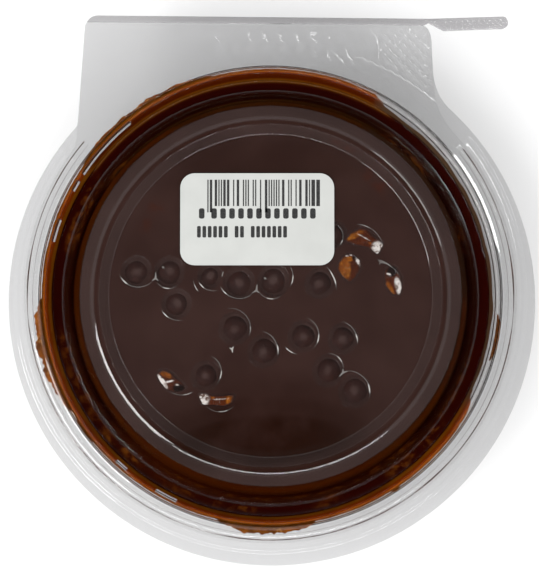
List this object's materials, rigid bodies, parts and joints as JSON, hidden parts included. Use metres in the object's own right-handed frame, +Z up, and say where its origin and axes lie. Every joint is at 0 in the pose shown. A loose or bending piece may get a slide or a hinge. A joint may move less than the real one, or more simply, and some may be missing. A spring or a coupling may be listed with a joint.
{
  "type": "tub of chocolate mousse",
  "caption": "Shut round clear plastic tub with a hinged lid, filled with dark chocolate mousse topped with chocolate balls and caramelled nut pieces.",
  "frame": {"origin": "centre of the bowl's flat foot, on the table", "axes": "+Z up, +Y towards the hinge tab at the back, +X to the side where the pull of the tear strip sticks out"},
  "size_m": [0.1422, 0.1493, 0.0453],
  "materials": {
    "clear_plastic": "thin clear thermoformed sheet, glossy, with a few scuffs",
    "mousse": "dark chocolate mousse, wet satin where the lid presses it",
    "chocolate": "chocolate coating, soft gloss",
    "caramelled_nut": "amber caramel over broken nut, glossy",
    "paper": "white paper label with black print"
  },
  "bodies": {
    "tub": {"bowl": "clear_plastic", "mousse": "mousse", "ball_01": "chocolate", "ball_02": "chocolate", "ball_03": "chocolate", "ball_04": "chocolate", "ball_05": "chocolate", "ball_06": "chocolate", "ball_07": "chocolate", "ball_08": "chocolate", "ball_09": "chocolate", "ball_10": "chocolate", "ball_11": "chocolate", "ball_12": "chocolate", "ball_13": "chocolate", "ball_14": "chocolate", "ball_15": "chocolate", "nut_01": "caramelled_nut", "nut_02": "caramelled_nut", "nut_03": "caramelled_nut", "nut_04": "caramelled_nut", "nut_05": "caramelled_nut", "tear_strip": "clear_plastic"},
    "lid": {"lid": "clear_plastic", "label": "paper"}
  },
  "joints": [
    {"name": "lid_hinge", "type": "hinge", "parent": "tub", "child": "lid", "pos_m": [0, 0.075, 0.04115], "axis": [-1, 0, 0], "range_deg": [0, 175]}
  ]
}
